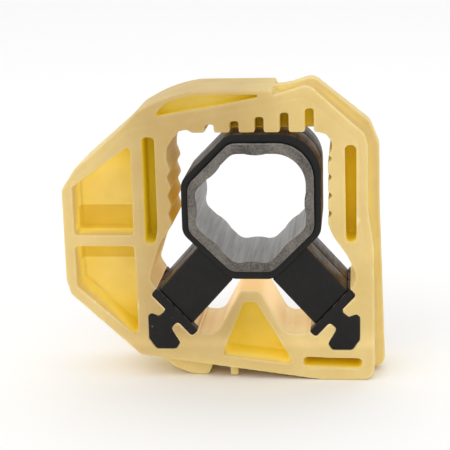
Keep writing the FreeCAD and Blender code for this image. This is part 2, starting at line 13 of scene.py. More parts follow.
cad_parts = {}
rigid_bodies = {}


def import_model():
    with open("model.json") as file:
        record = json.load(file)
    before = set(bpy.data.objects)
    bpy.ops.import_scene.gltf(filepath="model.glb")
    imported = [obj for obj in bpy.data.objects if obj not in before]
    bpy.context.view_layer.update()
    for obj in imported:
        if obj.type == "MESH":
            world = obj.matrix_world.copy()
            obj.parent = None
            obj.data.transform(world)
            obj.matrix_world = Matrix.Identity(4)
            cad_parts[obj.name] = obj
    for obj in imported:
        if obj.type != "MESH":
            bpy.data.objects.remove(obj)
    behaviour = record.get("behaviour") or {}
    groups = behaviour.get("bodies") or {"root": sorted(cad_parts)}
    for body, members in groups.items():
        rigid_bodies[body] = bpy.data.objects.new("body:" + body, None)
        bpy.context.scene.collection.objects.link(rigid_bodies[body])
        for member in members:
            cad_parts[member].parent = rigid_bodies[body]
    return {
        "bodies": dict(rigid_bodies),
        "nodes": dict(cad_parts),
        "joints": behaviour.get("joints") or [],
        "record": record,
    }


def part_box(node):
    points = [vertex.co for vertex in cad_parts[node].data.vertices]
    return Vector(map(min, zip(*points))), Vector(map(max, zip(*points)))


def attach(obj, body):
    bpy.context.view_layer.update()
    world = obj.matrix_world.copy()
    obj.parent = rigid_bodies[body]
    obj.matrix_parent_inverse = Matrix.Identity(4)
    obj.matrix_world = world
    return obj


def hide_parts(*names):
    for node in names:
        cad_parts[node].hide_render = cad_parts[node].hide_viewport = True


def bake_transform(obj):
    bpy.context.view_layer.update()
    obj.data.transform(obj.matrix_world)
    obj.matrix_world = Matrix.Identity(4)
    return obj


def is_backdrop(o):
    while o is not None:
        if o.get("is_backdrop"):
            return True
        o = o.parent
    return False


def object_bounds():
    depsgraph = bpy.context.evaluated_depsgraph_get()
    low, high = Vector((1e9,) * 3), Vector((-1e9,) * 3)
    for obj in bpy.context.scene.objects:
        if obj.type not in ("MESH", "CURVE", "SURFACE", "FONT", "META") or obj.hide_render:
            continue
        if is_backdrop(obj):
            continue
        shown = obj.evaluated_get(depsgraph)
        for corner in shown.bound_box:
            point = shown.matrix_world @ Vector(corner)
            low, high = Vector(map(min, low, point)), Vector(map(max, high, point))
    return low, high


log = logging.getLogger("tube_holder")

# Lengths are in metres, as in the frame. The object's width is X, its depth Y, its height Z.
MM = 0.001
# Corners closer than this are one corner, and faces that turn less than this are one face.
SAME_PLACE = 0.001 * MM
SAME_FACE = radians(0.5)
# An edge that turns more than the first is rounded; one that turns less than the second shades smooth.
SHARP_TURN = radians(35.0)
SMOOTH_TURN = radians(30.0)
FACES_PER_ROUNDING = 3
# Rays by which a finish feels for edges and for walls near by.
EDGE_RAYS = 6
WALL_RAYS = 12

Colour = tuple[float, float, float, float]


def srgb(code: str) -> Colour:
    """Turn an sRGB hex colour into linear values.

    Args:
        code: six hex digits with a leading hash.

    Returns:
        Linear red, green, blue and an alpha of one.
    """
    parts = (int(code[i : i + 2], 16) / 255 for i in (1, 3, 5))
    linear = [c / 12.92 if c <= 0.04045 else ((c + 0.055) / 1.055) ** 2.4 for c in parts]
    return (linear[0], linear[1], linear[2], 1.0)


def grey(value: float) -> Colour:
    """A linear grey as a colour."""
    return (value, value, value, 1.0)


def add_node(
    tree: bpy.types.NodeTree,
    kind: str,
    feeds: dict[str | int, object] | None = None,
    stops: Sequence[tuple[float, Colour]] = (),
    **settings: object,
) -> bpy.types.Node:
    """Add one shader node with its settings, values and links.

    Args:
        tree: the material's node tree.
        kind: the node's type name.
        feeds: what each input gets, by its name or number: an output socket to link, or a plain value.
        stops: a colour ramp's places and colours, in order.
        settings: the node's own attributes.

    Returns:
        The new node.
    """
    node = tree.nodes.new(kind)
    for key, value in settings.items():
        setattr(node, key, value)
    for name, feed in (feeds or {}).items():
        if isinstance(feed, bpy.types.NodeSocket):
            tree.links.new(feed, node.inputs[name])
        else:
            node.inputs[name].default_value = feed
    if stops:
        elements = node.color_ramp.elements
        while len(elements) < len(stops):
            elements.new(0.5)
        for element, (place, _) in zip(elements, stops):
            element.position = place
        for element, (_, colour) in zip(elements, stops):
            element.color = colour
    return node


def new_material(name: str) -> tuple[bpy.types.Material, bpy.types.NodeTree, bpy.types.Node]:
    """Start a material with one Principled shader wired to its output.

    Args:
        name: the real material's common name.

    Returns:
        The material, its tree and the Principled node.
    """
    material = bpy.data.materials.new(name)
    material.use_nodes = True
    tree = material.node_tree
    tree.nodes.clear()
    shader = add_node(tree, "ShaderNodeBsdfPrincipled")
    add_node(tree, "ShaderNodeOutputMaterial", {"Surface": shader.outputs[0]})
    return material, tree, shader


def product(tree: bpy.types.NodeTree, *factors: bpy.types.NodeSocket | float) -> bpy.types.NodeSocket:
    """Multiply any number of shares.

    Args:
        tree: the material's node tree.
        factors: two or more sockets or numbers, the first a socket.

    Returns:
        The product's socket.
    """
    total = factors[0]
    for factor in factors[1:]:
        total = add_node(tree, "ShaderNodeMath", {0: total, 1: factor}, operation="MULTIPLY").outputs[0]
    return total


def between(
    tree: bpy.types.NodeTree, source: bpy.types.NodeSocket, low: float, high: float, soft: float
) -> bpy.types.NodeSocket:
    """Pick out a band along an axis.

    Args:
        tree: the material's node tree.
        source: the point's place on the axis.
        low: where the band starts, in millimetres.
        high: where it ends, in millimetres.
        soft: the width over which it fades outside both, in millimetres.

    Returns:
        A share: one inside the band, nothing beyond the fade.
    """
    rise = add_node(tree, "ShaderNodeMapRange", {0: source, 1: (low - soft) * MM, 2: low * MM}).outputs[0]
    feeds = {0: source, 1: high * MM, 2: (high + soft) * MM, 3: 1.0, 4: 0.0}
    fall = add_node(tree, "ShaderNodeMapRange", feeds).outputs[0]
    return product(tree, rise, fall)


def clouds(
    tree: bpy.types.NodeTree, place: bpy.types.NodeSocket, size_mm: float, detail: float, pace: float = 1.0
) -> bpy.types.NodeSocket:
    """Lay a cloudy pattern through a piece.

    Args:
        tree: the material's node tree.
        place: the piece's own coordinates.
        size_mm: how wide its largest lumps are.
        detail: how many finer layers lie over them.
        pace: how fast it changes along the depth; below one draws the lumps out into streaks.

    Returns:
        A value about one half that rises and falls with the lumps.
    """
    drawn = add_node(tree, "ShaderNodeMapping", {0: place, "Scale": (1.0, pace, 1.0)}).outputs[0]
    numbers = {"Scale": 1 / (size_mm * MM), "Detail": detail, "Roughness": 0.6}
    return add_node(tree, "ShaderNodeTexNoise", {"Vector": drawn, **numbers}).outputs["Fac"]


def moulded_relief(
    tree: bpy.types.NodeTree,
    shader: bpy.types.Node,
    grain: bpy.types.NodeSocket,
    edge_mm: float,
    depth_mm: float,
    strength: float,
) -> bpy.types.NodeSocket:
    """Give a surface the soft edges and the fine grain of its mould.

    Args:
        tree: the material's node tree.
        shader: the Principled node.
        grain: the grain's height, as a share.
        edge_mm: how wide the softened edges look.
        depth_mm: how deep the grain is.
        strength: how strongly it shows.

    Returns:
        The surface's direction with soft edges, before the grain.
    """
    soft = add_node(tree, "ShaderNodeBevel", {"Radius": edge_mm * MM}, samples=EDGE_RAYS).outputs[0]
    feeds = {"Height": grain, "Normal": soft, "Strength": strength, "Distance": depth_mm * MM}
    relief = add_node(tree, "ShaderNodeBump", feeds).outputs[0]
    tree.links.new(relief, shader.inputs["Normal"])
    return soft


@dataclass(frozen=True)
class NaturalPolyamide:
    """Unfilled polyamide 6, moulded and uncoloured.

    To the eye it is honey ivory and satin, and yellower in cells and slots, where light comes through it;
    the script paints that as deeper shade and a glow in hollows, with a painted highlight along outer edges.
    """

    # Four tones of painted shade, deepest on a slot's floor, how open a point is where each is whole, and
    # how far off a wall still closes a point in.
    slot_floor_shade: str = "#D9A818"
    deep_wall_shade: str = "#EDC838"
    shaded_face: str = "#F3DE9C"
    open_face: str = "#E8CF8E"
    shade_levels: tuple[float, float, float, float] = (0.03, 0.16, 0.36, 0.62)
    hollow_mm: float = 14.0

    # Painted highlight: outer edges are painted pale where the mesh turns outward, from the first pointiness
    # to the second.
    pale_edge_highlight: str = "#F6EBC4"
    pale_highlight_turn: tuple[float, float] = (0.51, 0.60)
    pale_highlight_most: float = 0.75

    # Painted shade: the broad rear rib behind the left cells' floor lets less light through, so a darker tan
    # is painted there. Low, high and fade, in mm.
    rib_shade: str = "#DDB560"
    rib_shade_x: tuple[float, float, float] = (-45.0, -29.0, 0.1)
    rib_shade_y: tuple[float, float, float] = (-3.0, 1.0, 0.4)
    rib_shade_z: tuple[float, float, float] = (-15.4, -1.7, 0.25)

    # The middle of the housing is a little duller than its ends, and fades out at the base. In mm.
    dull_cast: str = "#E3DDDB"
    dull_x: tuple[float, float, float] = (-25.0, -3.0, 14.0)
    dull_z: tuple[float, float] = (-42.0, -33.0)

    # Each pattern has its lumps' width, and the levels of the pattern between which it comes in.
    flow_tint: str = "#F3EEE2"
    flow_mm: float = 14.0
    flow_levels: tuple[float, float] = (0.3, 0.7)
    speck: str = "#8C6A34"
    speck_mm: float = 2.4
    speck_levels: tuple[float, float] = (0.755, 0.78)
    speck_most: float = 0.7

    # Painted glow, emitted by the surface: light held in hollows, by how open they are, and light that seeps
    # in behind the rubber, by height (mm).
    glow: str = "#FFEE1C"
    glow_most: float = 0.27
    glow_levels: tuple[tuple[float, float], ...] = (
        (0.0, 0.42),
        (0.1, 0.82),
        (0.26, 0.55),
        (0.4, 1.0),
        (0.62, 0.0),
    )
    seep_lower: str = "#F2CE9C"
    seep_upper: str = "#E6A41C"
    seep_most: tuple[float, float] = (1.2, 0.45)
    seep_turn: tuple[float, float] = (-24.0, -12.0)
    seep_z: tuple[float, float, float] = (-35.0, 20.0, 2.0)

    # The mould's grain is finer than this; it is drawn coarse enough to show.
    grain_mm: float = 0.35
    grain_depth_mm: float = 0.03
    grain_strength: float = 0.35
    edge_mm: float = 0.5
    satin: tuple[float, float] = (0.50, 0.66)
    ior: float = 1.53
    gloss: float = 0.2
    inner_share: float = 0.5
    inner_reach: tuple[float, float, float] = (1.0, 0.9, 0.25)
    inner_mm: float = 1.5

    def build(self) -> bpy.types.Material:
        """Make the material.

        Returns:
            The material, which deepens where walls close in and pales along its edges.
        """
        material, tree, shader = new_material("natural_polyamide_moulded")
        place = add_node(tree, "ShaderNodeTexCoord").outputs["Object"]
        axes = add_node(tree, "ShaderNodeSeparateXYZ", {0: place}).outputs
        own_openness = self.openness(tree, own_walls_only=True)
        full_openness = self.openness(tree, own_walls_only=False)
        tone = self.tone(tree, full_openness, axes)
        tree.links.new(self.clouded(tree, tone, place, axes), shader.inputs["Base Color"])
        self.paint_glow(tree, shader, own_openness, full_openness, axes["Z"])
        # A satin that varies as finely as the grain breaks up the highlights.
        grain = clouds(tree, place, self.grain_mm, 4.0)
        feeds = {0: grain, 3: self.satin[0], 4: self.satin[1]}
        tree.links.new(add_node(tree, "ShaderNodeMapRange", feeds).outputs[0], shader.inputs["Roughness"])
        moulded_relief(tree, shader, grain, self.edge_mm, self.grain_depth_mm, self.grain_strength)
        shader.inputs["IOR"].default_value = self.ior
        shader.inputs["Specular IOR Level"].default_value = self.gloss
        # Blue is lost first inside the plastic, so edges and shadows stay warm.
        shader.inputs["Subsurface Weight"].default_value = self.inner_share
        shader.inputs["Subsurface Radius"].default_value = self.inner_reach
        shader.inputs["Subsurface Scale"].default_value = self.inner_mm * MM
        return material

    def openness(self, tree: bpy.types.NodeTree, own_walls_only: bool) -> bpy.types.NodeSocket:
        """Find how open each point is.

        Args:
            tree: the material's node tree.
            own_walls_only: count only the moulding's own walls, and not the rubber or the floor.

        Returns:
            A share: one on an open face, nothing at the bottom of a slot.
        """
        feeds = {"Distance": self.hollow_mm * MM}
        kind = "ShaderNodeAmbientOcclusion"
        return add_node(tree, kind, feeds, samples=WALL_RAYS, only_local=own_walls_only).outputs["AO"]

    def tone(
        self, tree: bpy.types.NodeTree, openness: bpy.types.NodeSocket, axes: bpy.types.bpy_prop_collection
    ) -> bpy.types.NodeSocket:
        """Colour the plastic: ivory in the open, a deeper golden painted shade in hollows, a painted pale
        highlight along outer edges.

        Args:
            tree: the material's node tree.
            openness: how open each point is.
            axes: the point's X, Y and Z.

        Returns:
            The colour's socket.
        """
        colours = (self.slot_floor_shade, self.deep_wall_shade, self.shaded_face, self.open_face)
        stops = [(level, srgb(colour)) for level, colour in zip(self.shade_levels, colours)]
        # Painted shade: the tone deepens from the open face to a slot's floor as walls close in.
        tone = add_node(tree, "ShaderNodeValToRGB", {0: openness}, stops).outputs["Color"]
        # Painted shade on the floor in front of the rear rib.
        feeds = {0: self.rib_shade_share(tree, axes), 6: tone, 7: srgb(self.rib_shade)}
        tone = add_node(tree, "ShaderNodeMix", feeds, data_type="RGBA").outputs[2]
        # Painted highlight along outer edges, by how sharply the mesh turns outward.
        turned = add_node(tree, "ShaderNodeNewGeometry").outputs["Pointiness"]
        feeds = {0: turned, 1: self.pale_highlight_turn[0], 2: self.pale_highlight_turn[1]}
        wear_and_highlight = product(tree, add_node(tree, "ShaderNodeMapRange", feeds).outputs[0], self.pale_highlight_most)
        feeds = {0: wear_and_highlight, 6: tone, 7: srgb(self.pale_edge_highlight)}
        return add_node(tree, "ShaderNodeMix", feeds, data_type="RGBA").outputs[2]

    def rib_shade_share(
        self, tree: bpy.types.NodeTree, axes: bpy.types.bpy_prop_collection
    ) -> bpy.types.NodeSocket:
        """Find the part of the left cells' floor that has the broad rear rib behind it, where shade is
        painted.

        Args:
            tree: the material's node tree.
            axes: the point's X, Y and Z.

        Returns:
            A share of painted shade: one in front of the rib.
        """
        bands = (("Z", self.rib_shade_z), ("Y", self.rib_shade_y), ("X", self.rib_shade_x))
        return product(tree, *(between(tree, axes[axis], *band) for axis, band in bands))

    def clouded(
        self,
        tree: bpy.types.NodeTree,
        tone: bpy.types.NodeSocket,
        place: bpy.types.NodeSocket,
        axes: bpy.types.bpy_prop_collection,
    ) -> bpy.types.NodeSocket:
        """Lay the melt's flow, the duller middle and a few burnt specks over the tone.

        Args:
            tree: the material's node tree.
            tone: the plastic's colour, with its painted shade and highlight.
            place: the piece's own coordinates.
            axes: the same as X, Y and Z.

        Returns:
            The finished colour's socket.
        """
        # Slow clouds, as wide as the melt's streams, keep large faces from looking even.
        flow = clouds(tree, place, self.flow_mm, 3.0)
        stops = ((self.flow_levels[0], srgb(self.flow_tint)), (self.flow_levels[1], grey(1.0)))
        tint = add_node(tree, "ShaderNodeValToRGB", {0: flow}, stops).outputs["Color"]
        middle = between(tree, axes["X"], *self.dull_x)
        feeds = {0: axes["Z"], 1: self.dull_z[0] * MM, 2: self.dull_z[1] * MM}
        dull = product(tree, middle, add_node(tree, "ShaderNodeMapRange", feeds).outputs[0])
        feeds = {0: dull, 6: grey(1.0), 7: srgb(self.dull_cast)}
        cast = add_node(tree, "ShaderNodeMix", feeds, data_type="RGBA").outputs[2]
        colour = tone
        how = {"data_type": "RGBA", "blend_type": "MULTIPLY"}
        for layer in (tint, cast):
            colour = add_node(tree, "ShaderNodeMix", {0: 1.0, 6: colour, 7: layer}, **how).outputs[2]
        dots = clouds(tree, place, self.speck_mm, 6.0)
        feeds = {0: dots, 1: self.speck_levels[0], 2: self.speck_levels[1], 4: self.speck_most}
        spotted = add_node(tree, "ShaderNodeMapRange", feeds).outputs[0]
        feeds = {0: spotted, 6: colour, 7: srgb(self.speck)}
        return add_node(tree, "ShaderNodeMix", feeds, data_type="RGBA").outputs[2]

    def paint_glow(
        self,
        tree: bpy.types.NodeTree,
        shader: bpy.types.Node,
        own_openness: bpy.types.NodeSocket,
        full_openness: bpy.types.NodeSocket,
        height: bpy.types.NodeSocket,
    ) -> None:
        """Paint a warm glow, emitted by the surface, on hollows and on walls behind the rubber, for the
        light that thin polyamide lets through.

        Args:
            tree: the material's node tree.
            shader: the Principled node.
            own_openness: how open each point is, counting the moulding's own walls.
            full_openness: how open each point is, counting everything round it.
            height: the point's Z.
        """
        stops = [(level, grey(share)) for level, share in self.glow_levels]
        held = add_node(tree, "ShaderNodeValToRGB", {0: own_openness}, stops).outputs["Color"]
        # The rubber before a wall shades it, so it glows less there.
        feeds = {0: full_openness, 1: own_openness}
        clear = add_node(tree, "ShaderNodeMath", feeds, operation="DIVIDE", use_clamp=True).outputs[0]
        brightest = tuple(part * self.glow_most for part in srgb(self.glow)[:3])
        feeds = {0: brightest, "Scale": product(tree, held, clear)}
        inside = add_node(tree, "ShaderNodeVectorMath", feeds, operation="SCALE").outputs[0]
        # The window's walls are open but for the rubber, and a painted glow stands for the light that seeps
        # to them from behind.
        feeds = {0: own_openness, 1: full_openness}
        hidden = add_node(tree, "ShaderNodeMath", feeds, operation="SUBTRACT", use_clamp=True).outputs[0]
        feeds = {0: height, 1: self.seep_turn[0] * MM, 2: self.seep_turn[1] * MM}
        upper = add_node(tree, "ShaderNodeMapRange", feeds).outputs[0]
        feeds = {0: upper, 3: self.seep_most[0], 4: self.seep_most[1]}
        most = add_node(tree, "ShaderNodeMapRange", feeds).outputs[0]
        window = between(tree, height, *self.seep_z)
        feeds = {0: upper, 6: srgb(self.seep_lower), 7: srgb(self.seep_upper)}
        cast = add_node(tree, "ShaderNodeMix", feeds, data_type="RGBA").outputs[2]
        feeds = {0: cast, "Scale": product(tree, hidden, own_openness, most, window)}
        behind = add_node(tree, "ShaderNodeVectorMath", feeds, operation="SCALE").outputs[0]
        passed = add_node(tree, "ShaderNodeVectorMath", {0: inside, 1: behind}, operation="ADD").outputs[0]
        tree.links.new(passed, shader.inputs["Emission Color"])
        shader.inputs["Emission Strength"].default_value = 1.0


@dataclass(frozen=True)
class MouldedRubber:
    """Carbon-filled natural rubber, moulded.

    To the eye it is near black where it left the mould, with brown-grey bloom streaked along its flanks; its
    flanks also carry a painted reflection, and its edges a painted grey highlight.
    """

    # Each pattern has its lumps' width, and the levels of the pattern between which it comes in.
    skin: str = "#0B0B0C"
    dust: str = "#1C1A17"
    dust_levels: tuple[float, float] = (0.15, 0.42)
    patch_mm: float = 5.0
    patch_levels: tuple[float, float] = (0.3, 0.7)
    bloom_and_reflection: str = "#2A2521"
    streak_and_reflection: str = "#6A6157"
    streak_mm: float = 1.6
    streak_pace: float = 0.12
    streak_levels: tuple[float, float] = (0.38, 0.72)
    # A flank is a wall that faces the front less than the first and wholly one below the second.
    flank_facing: tuple[float, float] = (0.6, 0.15)
    # Painted grey highlight along the edges.
    grey_edge_highlight: str = "#4E4B46"
    grey_highlight_levels: tuple[float, float] = (0.995, 0.9)
    grey_highlight_most: float = 0.7
    fleck: str = "#8E8A82"
    fleck_mm: float = 1.1
    fleck_levels: tuple[float, float] = (0.77, 0.8)
    fleck_most: float = 0.8
    # The mould's grain is finer than this; it is drawn coarse enough to show.
    grain_mm: float = 0.4
    grain_depth_mm: float = 0.05
    grain_strength: float = 0.5
    edge_mm: float = 0.4
    satin: tuple[float, float] = (0.36, 0.55)
    ior: float = 1.52
    gloss: float = 0.24

    def build(self) -> bpy.types.Material:
        """Make the material.

        Returns:
            The material, with a fine grain, streaked flanks with a painted reflection, a painted grey
            highlight along its edges and a few pale flecks.
        """
        material, tree, shader = new_material("moulded_black_rubber")
        coordinates = add_node(tree, "ShaderNodeTexCoord")
        place = coordinates.outputs["Object"]
        grain = clouds(tree, place, self.grain_mm, 5.0)
        patch = clouds(tree, place, self.patch_mm, 4.0)
        soft = moulded_relief(tree, shader, grain, self.edge_mm, self.grain_depth_mm, self.grain_strength)
        # Dust sits in the grain, more in some patches than in others.
        stops = ((self.dust_levels[0], srgb(self.skin)), (self.dust_levels[1], srgb(self.dust)))
        dusty = product(tree, grain, patch)
        face = add_node(tree, "ShaderNodeValToRGB", {0: dusty}, stops).outputs["Color"]
        # Bloom lies on the walls that run along the depth, in streaks the same way, together with a painted
        # reflection that makes the flanks lighter than the faces.
        streaks = clouds(tree, place, self.streak_mm, 4.0, self.streak_pace)
        stops = ((self.streak_levels[0], srgb(self.bloom_and_reflection)), (self.streak_levels[1], srgb(self.streak_and_reflection)))
        flank = add_node(tree, "ShaderNodeValToRGB", {0: streaks}, stops).outputs["Color"]
        facing = add_node(tree, "ShaderNodeSeparateXYZ", {0: coordinates.outputs["Normal"]}).outputs["Y"]
        level = add_node(tree, "ShaderNodeMath", {0: facing}, operation="ABSOLUTE").outputs[0]
        feeds = {0: level, 1: self.flank_facing[0], 2: self.flank_facing[1]}
        side = add_node(tree, "ShaderNodeMapRange", feeds).outputs[0]
        colour = add_node(tree, "ShaderNodeMix", {0: side, 6: face, 7: flank}, data_type="RGBA").outputs[2]
        # Painted highlight: edges, where the softened direction leaves the face's own, are painted grey.
        flat = add_node(tree, "ShaderNodeNewGeometry").outputs["Normal"]
        alike = add_node(tree, "ShaderNodeVectorMath", {0: soft, 1: flat}, operation="DOT_PRODUCT")
        dots = clouds(tree, place, self.fleck_mm, 2.0)
        marks = (
            (alike.outputs["Value"], self.grey_highlight_levels, self.grey_highlight_most, self.grey_edge_highlight),
            (dots, self.fleck_levels, self.fleck_most, self.fleck),
        )
        for source, (none, whole), most, mark in marks:
            share = add_node(tree, "ShaderNodeMapRange", {0: source, 1: none, 2: whole, 4: most}).outputs[0]
            feeds = {0: share, 6: colour, 7: srgb(mark)}
            colour = add_node(tree, "ShaderNodeMix", feeds, data_type="RGBA").outputs[2]
        tree.links.new(colour, shader.inputs["Base Color"])
        (low, high), (glossy, matt) = self.patch_levels, self.satin
        feeds = {0: patch, 1: low, 2: high, 3: glossy, 4: matt}
        tree.links.new(add_node(tree, "ShaderNodeMapRange", feeds).outputs[0], shader.inputs["Roughness"])
        shader.inputs["IOR"].default_value = self.ior
        shader.inputs["Specular IOR Level"].default_value = self.gloss
        return material


@dataclass(frozen=True)
class FilledPolyamide:
    """Glass-filled polyamide, moulded.

    To the eye its ends are a mottled dark grey, and its bore, drawn smooth by the core, is paler.
    """

    # Each pattern has its lumps' width, and the levels of the pattern between which it comes in.
    end_face: str = "#352E28"
    end_speck: str = "#7C766D"
    speck_mm: float = 0.5
    worn_mm: float = 6.0
    speck_levels: tuple[float, float] = (0.38, 0.64)
    bore: str = "#7B7976"
    bore_streak: str = "#A3A19D"
    streak_mm: float = 1.1
    streak_pace: float = 0.04
    streak_levels: tuple[float, float] = (0.35, 0.68)
    # An end is a face that faces along the depth more than the first and wholly one above the second.
    end_facing: tuple[float, float] = (0.3, 0.7)
    grain_depth_mm: float = 0.03
    grain_strength: float = 0.3
    edge_mm: float = 0.3
    satin: float = 0.45
    ior: float = 1.54

    def build(self) -> bpy.types.Material:
        """Make the material.

        Returns:
            The material, with axial drag lines in the bore and specks on the ends.
        """
        material, tree, shader = new_material("glass_filled_polyamide")
        coordinates = add_node(tree, "ShaderNodeTexCoord")
        place = coordinates.outputs["Object"]
        # Glass at the surface speckles the ends, and worn patches gather the specks.
        speck = clouds(tree, place, self.speck_mm, 4.0)
        wear_and_highlight = clouds(tree, place, self.worn_mm, 3.0)
        mottle = add_node(tree, "ShaderNodeMix", {0: 0.5, 2: speck, 3: wear_and_highlight}, data_type="FLOAT").outputs[0]
        stops = ((self.speck_levels[0], srgb(self.end_face)), (self.speck_levels[1], srgb(self.end_speck)))
        ends = add_node(tree, "ShaderNodeValToRGB", {0: mottle}, stops).outputs["Color"]
        # The core's drag leaves long streaks in the bore.
        drag = clouds(tree, place, self.streak_mm, 3.0, self.streak_pace)
        stops = ((self.streak_levels[0], srgb(self.bore)), (self.streak_levels[1], srgb(self.bore_streak)))
        walls = add_node(tree, "ShaderNodeValToRGB", {0: drag}, stops).outputs["Color"]
        facing = add_node(tree, "ShaderNodeSeparateXYZ", {0: coordinates.outputs["Normal"]}).outputs["Y"]
        level = add_node(tree, "ShaderNodeMath", {0: facing}, operation="ABSOLUTE").outputs[0]
        feeds = {0: level, 1: self.end_facing[0], 2: self.end_facing[1]}
        choice = add_node(tree, "ShaderNodeMapRange", feeds).outputs[0]
        colour = add_node(tree, "ShaderNodeMix", {0: choice, 6: walls, 7: ends}, data_type="RGBA")
        tree.links.new(colour.outputs[2], shader.inputs["Base Color"])
        moulded_relief(tree, shader, speck, self.edge_mm, self.grain_depth_mm, self.grain_strength)
        shader.inputs["Roughness"].default_value = self.satin
        shader.inputs["IOR"].default_value = self.ior
        return material


def dress(piece: bpy.types.Object, material: bpy.types.Material) -> None:
    """Give a piece one material in place of any it has."""
    piece.data.materials.clear()
    piece.data.materials.append(material)


@dataclass
class StudioCamera:
    """A long lens a third of a metre away, a little above the object and to its right."""

    azimuth: float = 5.8
    elevation: float = 14.6
    roll: float = -1.5
    distance: float = 0.334
    lens_mm: float = 108.8
    sensor_mm: float = 36.0
    target: tuple[float, float, float] = (0.0, -0.0121, 0.0)
    # How far left and down the camera slides, as shares of its distance, to centre the object.
    slide: tuple[float, float] = (0.01868, 0.01162)

    def build(self) -> bpy.types.Object:
        """Place the camera and make it the scene's.

        Returns:
            The camera object.
        """
        azimuth, elevation, roll = (radians(a) for a in (self.azimuth, self.elevation, self.roll))
        back = Vector((sin(azimuth) * cos(elevation), -cos(azimuth) * cos(elevation), sin(elevation)))
        level = (-back).cross(Vector((0, 0, 1))).normalized()
        upright = level.cross(-back)
        right = level * cos(roll) + upright * sin(roll)
        up = upright * cos(roll) - level * sin(roll)
        place = Vector(self.target) + (back - right * self.slide[0] - up * self.slide[1]) * self.distance
        data = bpy.data.cameras.new("studio_camera")
        data.lens = self.lens_mm
        data.sensor_width = self.sensor_mm
        camera = bpy.data.objects.new("studio_camera", data)
        bpy.context.scene.collection.objects.link(camera)
        turn = Matrix((right, up, back)).transposed().to_4x4()
        camera.matrix_world = Matrix.Translation(place) @ turn
        bpy.context.scene.camera = camera
        return camera


@dataclass(frozen=True)
class Softbox:
    """A square lamp that points at the object. Its power is in watts."""

    name: str
    place: tuple[float, float, float]
    side: float
    power: float

    def hang(self) -> None:
        """Add the lamp to the scene."""
        data = bpy.data.lights.new(self.name, "AREA")
        data.size = self.side
        data.energy = self.power
        lamp = bpy.data.objects.new(self.name, data)
        bpy.context.scene.collection.objects.link(lamp)
        lamp.location = self.place
        lamp.rotation_euler = (-Vector(self.place)).to_track_quat("-Z", "Y").to_euler()


@dataclass
class Studio:
    """A pale floor, an even sky and three soft lamps."""

    floor_height: float
    floor_side: float = 6.0
    floor_colour: str = "#FBFBFB"
    floor_roughness: float = 0.9
    sky: float = 0.98
    lamps: tuple[Softbox, ...] = (
        Softbox("key_softbox", (-0.35, -0.45, 0.55), 0.45, 0.6),
        Softbox("fill_softbox", (0.55, -0.35, 0.30), 0.40, 0.06),
        Softbox("top_softbox", (0.05, 0.25, 0.60), 0.45, 0.25),
    )

    def build(self) -> None:
        """Make the floor, the sky and the lamps."""
        bpy.ops.mesh.primitive_plane_add(size=self.floor_side, location=(0, 0, self.floor_height))
        floor = bpy.context.object
        floor.name = "floor"
        paper, _, shader = new_material("matt_white_paper")
        shader.inputs["Base Color"].default_value = srgb(self.floor_colour)
        shader.inputs["Roughness"].default_value = self.floor_roughness
        dress(floor, paper)
        floor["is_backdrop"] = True
        scene = bpy.context.scene
        scene.world = bpy.data.worlds.new("studio_sky")
        scene.world.use_nodes = True
        sky = scene.world.node_tree.nodes["Background"]
        sky.inputs["Color"].default_value = grey(1.0)
        sky.inputs["Strength"].default_value = self.sky
        for lamp in self.lamps:
            lamp.hang()
        scene.view_settings.view_transform = "Standard"
        scene.view_settings.look = "None"
        scene.cycles.use_denoising = True


def only(piece: bpy.types.Object) -> None:
    """Select one piece alone and make it active."""
    bpy.ops.object.select_all(action="DESELECT")
    piece.select_set(True)
    bpy.context.view_layer.objects.active = piece


def shape(piece: bpy.types.Object, kind: str, **settings: object) -> None:
    """Put one modifier on a piece and apply it.

    Args:
        piece: the piece.
        kind: the modifier's type name.
        settings: the modifier's own attributes.
    """
    only(piece)
    modifier = piece.modifiers.new(kind.lower(), kind)
    for key, value in settings.items():
        setattr(modifier, key, value)
    bpy.ops.object.modifier_apply(modifier=modifier.name)


def soften(piece: bpy.types.Object, width: float) -> None:
    """Round every sharp edge of a closed, merged mesh and smooth its shading.

    Args:
        piece: the piece.
        width: how wide the roundings are.
    """
    shape(
        piece,
        "BEVEL",
        limit_method="ANGLE",
        angle_limit=SHARP_TURN,
        width=width,
        segments=FACES_PER_ROUNDING,
        use_clamp_overlap=False,
        miter_outer="MITER_ARC",
    )
    bpy.ops.object.shade_smooth_by_angle(angle=SMOOTH_TURN)


def merged_copy(frame: dict, node: str, name: str) -> bpy.types.Object:
    """Copy a CAD node and join its loose triangles.

    Args:
        frame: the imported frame.
        node: the CAD node's name.
        name: the copy's name.

    Returns:
        The copy.
    """
    piece = bpy.data.objects.new(name, frame["nodes"][node].data.copy())
    bpy.context.scene.collection.objects.link(piece)
    only(piece)
    bpy.ops.object.mode_set(mode="EDIT")
    bpy.ops.mesh.select_all(action="SELECT")
    bpy.ops.mesh.remove_doubles(threshold=SAME_PLACE)
    bpy.ops.object.mode_set(mode="OBJECT")
    return piece


def moulded_copy(frame: dict, node: str, name: str, body: str, edge: float) -> bpy.types.Object:
    """Copy a CAD node with the soft edges of a moulding, standing for that node.

    Args:
        frame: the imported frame.
        node: the CAD node's name.
        name: the copy's name.
        body: the body it rides on.
        edge: how wide its rounded edges are.

    Returns:
        The copy.
    """
    piece = merged_copy(frame, node, name)
    bpy.ops.object.mode_set(mode="EDIT")
    bpy.ops.mesh.select_all(action="SELECT")
    bpy.ops.mesh.dissolve_limited(angle_limit=SAME_FACE)
    bpy.ops.object.mode_set(mode="OBJECT")
    soften(piece, edge)
    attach(piece, body)
    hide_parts(node)
    return piece


